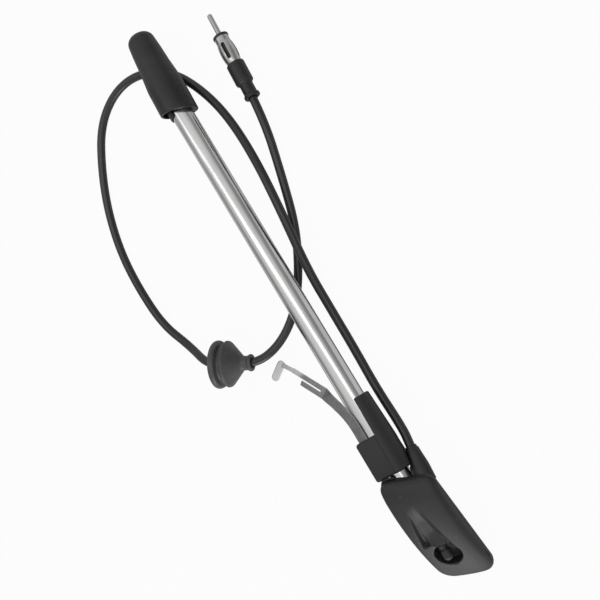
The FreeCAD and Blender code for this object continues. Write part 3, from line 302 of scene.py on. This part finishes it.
plugLook = {
    "dark": (0.36, 0.36, 0.35), "light": (0.62, 0.62, 0.61), "cloud": (240.0, 4.0, 0.6),
    "lines": ((2600.0, 160.0, 160.0), 2.0, 0.5), "bump": (0.00001, 0.4),
    "rough": 0.16, "cloudRough": 0.18,
}


def plugMetal(look):  # nickel-plated barrel and pin
    finish = Finish(bpy.data.materials.new("plugMetal"))
    cloud = finish.noise(*look["cloud"])
    lines = finish.noise(*look["lines"])
    return finish.shade(Base_Color=finish.shades(cloud, look["dark"], look["light"]), Metallic=1.0,
                        Roughness=look["rough"] + cloud * look["cloudRough"],
                        Normal=finish.bump(lines, *look["bump"]))


brassLook = {
    "dark": (0.52, 0.37, 0.15), "light": (0.74, 0.56, 0.27), "tone": ((4200.0, 200.0, 200.0), 2.0, 0.5),
    "metallic": 1.0, "rough": 0.24, "toneRough": 0.12,
}
nylonLook = {
    "dark": (0.70, 0.68, 0.61), "light": (0.82, 0.80, 0.74), "tone": (300.0, 3.0, 0.5),
    "metallic": 0.0, "rough": 0.42, "toneRough": 0.12,
}
insulationLook = {
    "dark": (0.012, 0.012, 0.012), "light": (0.026, 0.026, 0.026), "tone": (500.0, 3.0, 0.5),
    "metallic": 0.0, "rough": 0.40, "toneRough": 0.15,
}


def plainFinish(name, look):  # turned brass, nylon and the plug's insulation, each with one noise
    finish = Finish(bpy.data.materials.new(name))
    tone = finish.noise(*look["tone"])
    return finish.shade(Base_Color=finish.shades(tone, look["dark"], look["light"]),
                        Metallic=look["metallic"], Roughness=look["rough"] + tone * look["toneRough"])


finishes = {
    "polished_tube": polishedTube(tubeLook), "bright_mast": brightMast(mastLook),
    "brass": plainFinish("turnedBrass", brassLook), "pale_nylon": plainFinish("paleNylon", nylonLook),
    "black_plastic": blackPlastic(plasticLook), "black_rubber": blackRubber("blackRubber", rubberLook),
    "cable_jacket": cableJacket(jacketLook), "zinc_steel": zincSteel(zincLook),
    "plug_metal": plugMetal(plugLook), "plug_insulation": plainFinish("plugInsulation", insulationLook),
}
for nodeName, slotName in slotOf.items():
    mesh = nodes[nodeName].data
    mesh.materials.clear()
    mesh.materials.append(finishes[slotName])
nodes["cable_grommet"].data.materials[0] = blackRubber("greyerRubber", greyerLook)
print("finishes made:", len(finishes))

upward = Vector((0.0, 0.0, 1.0))


def newPiece(name, shape, slotName):  # an object on the fixed body, in one of the record's finishes
    piece = bpy.data.objects.new(name, shape)
    scene.collection.objects.link(piece)
    if not shape.materials:
        shape.materials.append(finishes[slotName])
    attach(piece, "antenna")
    return piece


def fullTurn(count):  # angles round a ring
    return [math.tau * step / count for step in range(count)]


def smoothFaces(shape):
    shape.polygons.foreach_set("use_smooth", [True] * len(shape.polygons))


def skinRings(name, rings, slotName, looped=False):  # a closed skin through rings of points
    build = bmesh.new()
    loops = [[build.verts.new(spot) for spot in ring] for ring in rings]
    following = loops[1:] + loops[:1] if looped else loops[1:]
    for first, second in zip(loops, following):
        for step in range(len(first)):
            turn = (step + 1) % len(first)
            build.faces.new((first[step], first[turn], second[turn], second[step]))
    if not looped:
        build.faces.new(loops[0])
        build.faces.new(loops[-1])
    bmesh.ops.recalc_face_normals(build, faces=build.faces)
    shape = bpy.data.meshes.new(name)
    build.to_mesh(shape)
    build.free()
    return newPiece(name, shape, slotName)


def roundEdges(piece, width, segments=3):
    bevel = piece.modifiers.new("roundEdges", "BEVEL")
    bevel.width = width
    bevel.segments = segments
    bevel.limit_method = "ANGLE"
    smoothFaces(piece.data)


core = {
    "start": (-0.106626, 0.050141, 0.00545), "way": (-0.99786, 0.06531, 0.0), "count": 32,
    "profile": [(0.0230, 0.0014), (0.0230, 0.0030), (0.0366, 0.0030), (0.0366, 0.0014)],  # along, radius
}


def plugCore():  # the insulating sleeve that shows through the barrel's slots
    way = Vector(core["way"]).normalized()
    side = way.cross(upward).normalized()
    lift = side.cross(way)
    rings = []
    for along, radius in core["profile"]:
        centre = Vector(core["start"]) + way * along
        rings.append([centre + (side * math.cos(turn) + lift * math.sin(turn)) * radius
                      for turn in fullTurn(core["count"])])
    return skinRings("plugCore", rings, "plug_insulation", looped=True)


cable = {
    "thickness": 0.005, "length": 0.736, "order": 3,
    "stepsAlong": 12, "stepsRound": 6,  # the resolutions of the curve and of its bevel
    "points": [
        (0.1310, 0.0243, 0.0211), (0.1003, 0.0246, 0.0113), (0.0913, 0.0247, 0.0084),
        (0.0667, 0.0216, 0.0030), (0.0417, 0.0224, 0.0025), (0.0167, 0.0228, 0.0027),
        (-0.0093, 0.0248, 0.0066), (-0.0433, 0.0311, 0.0110), (-0.0773, 0.0336, 0.0092),
        (-0.1093, 0.0304, 0.0025), (-0.1333, 0.0246, 0.0025), (-0.1533, 0.0142, 0.0025),
        (-0.1668, -0.0048, 0.0025), (-0.1681, -0.0253, 0.0025), (-0.1575, -0.0452, 0.0025),
        (-0.1353, -0.0601, 0.0025), (-0.1123, -0.0708, 0.0025), (-0.0863, -0.0776, 0.0025),
        (-0.0603, -0.0791, 0.0025), (-0.0333, -0.0770, 0.0025), (-0.0128, -0.0674, 0.0034),
        (0.0049, -0.0559, 0.0150), (0.0124, -0.0416, 0.0134), (0.0199, -0.0272, 0.0118),
        (0.0163, -0.0116, 0.0058), (0.0047, 0.0047, 0.0025), (-0.0128, 0.0188, 0.0025),
        (-0.0338, 0.0306, 0.0025), (-0.0603, 0.0390, 0.0029), (-0.0947, 0.0494, 0.0054),
        (-0.1186, 0.0509, 0.0054),
    ],
}


def coaxCable():  # the lead, from the head to its plug
    curve = bpy.data.curves.new("coaxCable", "CURVE")
    curve.dimensions = "3D"
    spline = curve.splines.new("NURBS")
    spline.points.add(len(cable["points"]) - 1)
    for point, place in zip(spline.points, cable["points"]):
        point.co = (*place, 1.0)
    spline.order_u = cable["order"]
    spline.use_endpoint_u = True
    spline.resolution_u = cable["stepsAlong"]
    curve.bevel_depth = cable["thickness"] / 2
    curve.bevel_resolution = cable["stepsRound"]
    curve.use_fill_caps = True
    piece = newPiece("coaxCableSkin", curve, "cable_jacket")
    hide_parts("coax_cable")
    ([plugCore()] + [nodes[name] for name in (
                "cable_gland", "cable_grommet", "plug_boot", "plug_barrel", "plug_insulator", "plug_pin")])


coaxCable()
print("cable laid, with its plug core")

softForms = {  # voxel in metres and smoothing passes, for moulded pieces whose edges are soft
    "collar": (0.00035, 5), "end_boot": (0.00040, 7), "cable_grommet": (0.00060, 12),
    "cable_gland": (0.00030, 4), "plug_boot": (0.00030, 4), "mast_knob": (0.00018, 3),
}


def soften(piece, voxel, passes, factor=0.5):  # rounds edges with modifiers; the mesh stays as it is
    remesh = piece.modifiers.new("softRemesh", "REMESH")
    remesh.mode = "VOXEL"
    remesh.voxel_size = voxel
    remesh.use_smooth_shade = True
    smooth = piece.modifiers.new("softEdges", "SMOOTH")
    smooth.factor = factor
    smooth.iterations = passes


def softCopy(name, source, voxel, passes):  # a softened copy of a node, in its place, for further shaping
    node = nodes[source]
    piece = newPiece(name, node.data.copy(), slotOf[source])
    piece.matrix_world = node.matrix_world.copy()
    soften(piece, voxel, passes)
    bpy.context.view_layer.update()
    shape = bpy.data.meshes.new_from_object(piece.evaluated_get(bpy.context.evaluated_depsgraph_get()))
    piece.modifiers.clear()
    piece.data = shape
    smoothFaces(shape)
    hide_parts(source)
    return piece


for name, (voxel, passes) in softForms.items():
    soften(nodes[name], voxel, passes)
print("moulded edges softened:", len(softForms))


def between(low, high, part):
    return low + (high - low) * part


def smoothStep(low, high, given):
    part = min(max((given - low) / (high - low), 0.0), 1.0)
    return part * part * (3.0 - 2.0 * part)


row = Vector((0.150674, 0.012241, 0.0))  # where places along the mast and beside it are counted from
head = {
    "voxel": 0.00040, "passes": 9,
    "ball": (0.106071, 0.026181, -0.079297), "radius": 0.110,  # the dome
    "origin": (0.173374, 0.013941, -0.000179),  # the head's own frame
    "axes": [(0.9358, -0.05062, -0.34887), (0.08426, 0.99307, 0.08195), (0.34231, -0.10609, 0.93358)],
    "above": 0.03,  # from how far over the head its outer face is looked for
    "wall": (0.0018, 0.0040),  # depths below that face between which the shaping fades out
    "mastHeight": 0.0150, "mastRoom": 0.0026,  # the mast's axis, and the room kept round it
}
scoop = {
    "tip": {"along": -0.0255, "left": -0.0018, "right": 0.0048, "depth": 0.0016},
    "end": {"along": 0.0, "left": -0.0092, "right": 0.0083, "depth": 0.0046},
    "leftWall": (-1.0, -0.72), "rightWall": (0.20, 1.0),  # across it, from -1 at its left rim to 1
    "floorShare": 0.62, "floorRise": (-0.6, 0.45),  # less deep beside its left wall
    "runIn": (0.0, 0.50),  # the part of its length, from the tip, that it deepens over
    "stop": (-0.0010, 0.0065), "stopBlend": 0.0006,  # where it ends at the pit, on the left and on the right
    "stopSides": (-0.0030, 0.0020),  # sides between which that end moves over
    "mastTop": 0.0190, "mastBlend": 0.0010,  # over the mast it stays above this height
    "mastSides": (0.0036, 0.0054),  # how far beside the mast that holds, and where it no longer does
}


def scoopDepth(along, side):  # how far below the dome the scoop lies: steep on its left, long on its right
    tip, end = scoop["tip"], scoop["end"]
    part = (along - tip["along"]) / (end["along"] - tip["along"])
    left, right, depth = (between(tip[key], end[key], part) for key in ("left", "right", "depth"))
    place = 2.0 * (side - left) / (right - left) - 1.0
    floor = between(scoop["floorShare"], 1.0, smoothStep(*scoop["floorRise"], place))
    walls = smoothStep(*scoop["leftWall"], place) * (1.0 - smoothStep(*scoop["rightWall"], place))
    stop = between(*scoop["stop"], smoothStep(*scoop["stopSides"], side))
    stopped = smoothStep(stop - scoop["stopBlend"], stop + scoop["stopBlend"], along)
    ends = smoothStep(*scoop["runIn"], part) * (1.0 - stopped)
    wanted = min(depth, end["depth"]) * floor * walls * ends
    ball = Vector(head["ball"])
    flat = (along + row.x - ball.x) ** 2 + (side + row.y - ball.y) ** 2
    dome = ball.z + math.sqrt(head["radius"] ** 2 - flat)
    room = max((dome - scoop["mastTop"]) * head["axes"][2][2], 0.0)
    shallow = (wanted + room - math.hypot(wanted - room, scoop["mastBlend"])) / 2.0  # a rounded minimum
    overMast = 1.0 - smoothStep(*scoop["mastSides"], abs(side))
    return between(wanted, min(wanted, max(shallow, 0.0)), overMast)


refill = {
    "from": (-0.0330, -0.0320), "until": (-0.0215, -0.0130),  # along the mast, where it sets in and fades
    "sides": (-0.0060, 0.0095),
}


def refillShare(along, side):  # where the round tip of the CAD scoop is filled back to the new scoop
    left, right = refill["sides"]
    if not left < side < right:
        return 0.0
    return smoothStep(*refill["from"], along) * (1.0 - smoothStep(*refill["until"], along))


rim = {  # in the head's own frame
    "tail": ((-0.0675, -0.0094), (0.973, -0.229)), "right": 0.0149,  # the tail's line, and the right side
    "fall": {"tail": (0.0024, 0.011), "right": (0.0026, 0.012)},  # how far it falls, and from how far in
    "top": (0.0030, 0.0055),  # heights between which the fall sets in
}


def rimFall(spot):  # the dome's extra fall towards the tail and the right side
    corner, inward = (Vector(part) for part in rim["tail"])
    gaps = {"tail": (spot.xy - corner).dot(inward), "right": rim["right"] - spot.y}
    fall = sum(depth * max(1.0 - gaps[key] / reach, 0.0) ** 2 for key, (depth, reach) in rim["fall"].items())
    return fall * smoothStep(*rim["top"], spot.z)


def headSkin():  # the cover, its scoop deeper than the CAD cone and its tail and right side rounder
    piece = softCopy("headSkin", "head_cover", head["voxel"], head["passes"])
    place = piece.matrix_world
    back = place.inverted()
    spots = [place @ vertex.co for vertex in piece.data.vertices]
    surface = BVHTree.FromPolygons(spots, [tuple(face.vertices) for face in piece.data.polygons])
    axes = [Vector(axis) for axis in head["axes"]]
    outward = axes[2]
    for vertex, spot in zip(piece.data.vertices, spots):
        away = spot - Vector(head["origin"])
        fall = rimFall(Vector([away.dot(axis) for axis in axes]))
        wanted = scoopDepth(spot.x - row.x, spot.y - row.y)
        filled = refillShare(spot.x - row.x, spot.y - row.y)
        hit = None
        if wanted + filled > 0.0:
            hit = surface.ray_cast(spot + outward * head["above"], -outward)[0]
        if hit is not None:
            share = 1.0 - smoothStep(*head["wall"], (hit - spot).length)
            extra = wanted - head["radius"] + (hit - Vector(head["ball"])).length
            fall = max(fall, extra * share) if extra > 0.0 else fall + extra * share * filled
        moved = spot - outward * fall
        aside = Vector((0.0, moved.y - row.y, moved.z - head["mastHeight"]))
        short = head["mastRoom"] - aside.length
        vertex.co = back @ (moved + aside.normalized() * max(short, 0.0))  # kept off the mast


skirt = {
    "tip": (0.101274, 0.024641, 0.0116), "way": (-1.0, 0.01, -0.32), "count": 40, "round": 0.0003,
    "bore": 0.00315, "boreGrowth": 0.048,  # at the tip, and per metre
    "stations": [  # back from the tip; half width on the collar's side and on the free side; half height
        (0.0016, 0.0037, 0.0037, 0.0037), (0.0060, 0.0039, 0.0043, 0.0039),
        (0.0084, 0.0041, 0.0047, 0.0041), (0.0100, 0.0051, 0.0050, 0.0042),
        (0.0125, 0.0059, 0.0053, 0.0044), (0.0172, 0.0060, 0.0057, 0.0046),
    ],
    "slant": 0.0034,  # how much further the last ring reaches on its free side
}


def glandSkirt():  # the moulded flare of the strain relief, from the head's tail down to its tip
    way = Vector(skirt["way"]).normalized()
    side = upward.cross(-way).normalized()
    lift = -way.cross(side)
    outer, inner = [], []
    for along, near, far, high in skirt["stations"]:
        bore = skirt["bore"] + skirt["boreGrowth"] * along
        reach = skirt["slant"] if along == skirt["stations"][-1][0] else 0.0
        ringOut, ringIn = [], []
        for turn in fullTurn(skirt["count"]):
            wide, tall = math.cos(turn), math.sin(turn)
            centre = Vector(skirt["tip"]) - way * (along + reach * max(wide, 0.0) * (1.0 - max(tall, 0.0)))
            ringOut.append(centre + side * wide * (far if wide > 0.0 else near) + lift * tall * high)
            ringIn.append(centre + (side * wide + lift * tall) * bore)
        outer.append(ringOut)
        inner.append(ringIn)
    roundEdges(skinRings("glandSkirt", outer + inner[::-1], "black_rubber", looped=True), skirt["round"])


lip = {
    "low": 0.00015, "high": 0.00105, "round": 0.0003,
    "outline": [  # in the head's own frame
        (-0.0632, -0.01446), (-0.0654, -0.0137), (-0.0668, -0.0119),
        (-0.06708, -0.0095), (-0.0661, -0.0052), (-0.0676, -0.0050),
        (-0.0685, -0.0094), (-0.0682, -0.0122), (-0.0662, -0.0142),
    ],
}


def sealLip():  # the seal's loose lip past the head's tail, beside the tube
    axes = [Vector(axis) for axis in head["axes"]]
    rings = [[Vector(head["origin"]) + axes[0] * along + axes[1] * side + axes[2] * height
              for along, side in lip["outline"]] for height in (lip["low"], lip["high"])]
    roundEdges(skinRings("sealLip", rings, "black_rubber"), lip["round"])


strip = {
    "voxel": 0.00020, "passes": 3,
    "reach": 0.0075, "steps": 12,  # how far each way along the line its places are averaged
    "blend": (-0.0965, -0.0915),  # where the easing sets in
    "line": [
        (-0.0500, -0.0054, 0.0206), (-0.0790, -0.0054, 0.0206), (-0.0882, -0.0100, 0.0178),
        (-0.0965, -0.0163, 0.0090), (-0.1165, -0.0303, 0.0030),
    ],
}


def stripLine(along):  # the CAD strip's middle line, by its place along the mast
    for first, second in zip(strip["line"], strip["line"][1:]):
        if along >= second[0]:
            part = (along - first[0]) / (second[0] - first[0])
            return Vector(first).lerp(Vector(second), part)
    return Vector(strip["line"][-1])


def stripSkin():  # the earth strip, its two upper bends eased into one curve
    piece = softCopy("stripSkin", "earth_strip", strip["voxel"], strip["passes"])
    back = piece.matrix_world.inverted()
    offsets = [strip["reach"] * (2.0 * step / strip["steps"] - 1.0) for step in range(strip["steps"] + 1)]
    for vertex in piece.data.vertices:
        spot = piece.matrix_world @ vertex.co
        along = spot.x - row.x
        share = smoothStep(*strip["blend"], along)
        middle = sum((stripLine(along + offset) for offset in offsets), Vector()) / len(offsets)
        eased = middle - stripLine(along)
        vertex.co = back @ (spot + Vector((0.0, eased.y, eased.z)) * share)


headSkin()
glandSkirt()
sealLip()
stripSkin()
print("head, gland, seal and strip shaped")

studio = {
    "right": (0.5114, 0.7541, -0.4120), "up": (-0.8471, 0.5231, -0.0940),  # of the picture
    "eye": (0.069064, 0.193511, 0.42234), "angle": 40.0, "sensor": 36.0, "near": 0.01,
    "white": (1.0, 1.0, 1.0, 1.0),
    "floorSize": 12.0, "floorTone": (0.62, 0.62, 0.62, 1.0), "floorRough": 0.9,
    "floorGlow": 0.95, "floorShine": 0.20,  # how white the floor is to the camera and in reflections
    "sideTones": [  # the sky's grey, from the -Y side over the top to the +Y side
        (0.0, 0.20), (0.05, 0.36), (0.16, 0.68), (0.62, 0.78), (0.84, 0.62), (0.93, 0.30), (1.0, 0.26),
    ],
    "lamps": {  # place, size, watts, and the turn of a lamp that faces down, or None to face the origin
        "keyLamp": ((-0.17, 0.02, 0.78), (1.40, 0.18), 1.05, 58.7),
        "noseLamp": ((0.80, -0.25, 0.22), (0.5, 0.35), 2.4, None),
    },
}


def photoCamera():
    right, up = Vector(studio["right"]).normalized(), Vector(studio["up"])
    back = right.cross(up).normalized()
    up = back.cross(right)
    data = bpy.data.cameras.new("photoCamera")
    data.sensor_width = studio["sensor"]
    data.lens = studio["sensor"] / 2 / math.tan(math.radians(studio["angle"]) / 2)
    data.clip_start = studio["near"]
    camera = bpy.data.objects.new("photoCamera", data)
    camera.matrix_world = Matrix.Translation(studio["eye"]) @ Matrix((right, up, back)).transposed().to_4x4()
    scene.collection.objects.link(camera)
    scene.camera = camera


def softLamp(name, place, size, watts, turn):
    data = bpy.data.lights.new(name, "AREA")
    data.shape = "RECTANGLE"
    data.size, data.size_y = size
    data.energy = watts
    lamp = bpy.data.objects.new(name, data)
    lamp.location = place
    if turn is None:
        lamp.rotation_euler = (-Vector(place)).to_track_quat("-Z", "Y").to_euler()
    else:
        lamp.rotation_euler = (0.0, 0.0, math.radians(turn))
    scene.collection.objects.link(lamp)


def paleFloor():  # grey in the light that it gives back, white to the camera
    bpy.ops.mesh.primitive_plane_add(size=studio["floorSize"])
    floor = bpy.context.object
    floor.name = "paleFloor"
    finish = Finish(bpy.data.materials.new("paleFloor"))
    finish.shade(Base_Color=studio["floorTone"], Roughness=studio["floorRough"], Specular_IOR_Level=0.0)
    seen = (finish.rays("Camera") + finish.rays("Transmission")) * studio["floorGlow"]
    seen = seen + finish.rays("Glossy") * studio["floorShine"]
    matt = Wire(finish.tree, finish.tree.nodes["Principled BSDF"].outputs[0])
    glow = finish.add("ShaderNodeEmission", None, {"Color": studio["white"]})
    finish.blend("Material Output", seen, matt, glow)
    floor.data.materials.append(finish.owner)


def paleWorld():  # light overhead, darker towards both sides, white where the camera looks past the floor
    finish = Finish(bpy.data.worlds.new("paleWorld"), "Generated")
    scene.world = finish.owner
    across = finish.axis("Y") * 0.5 + 0.5  # from -1..1 to 0..1
    tone = finish.add("ShaderNodeValToRGB", {"stops": studio["sideTones"]}, {"Fac": across})
    sky = finish.add("ShaderNodeBackground", None, {"Color": tone})
    plain = finish.add("ShaderNodeBackground", None, {"Color": studio["white"]})
    finish.blend("World Output", finish.rays("Camera") + finish.rays("Transmission"), sky, plain)


photoCamera()
paleFloor()
paleWorld()
for name, settings in studio["lamps"].items():
    softLamp(name, *settings)
print("studio set")
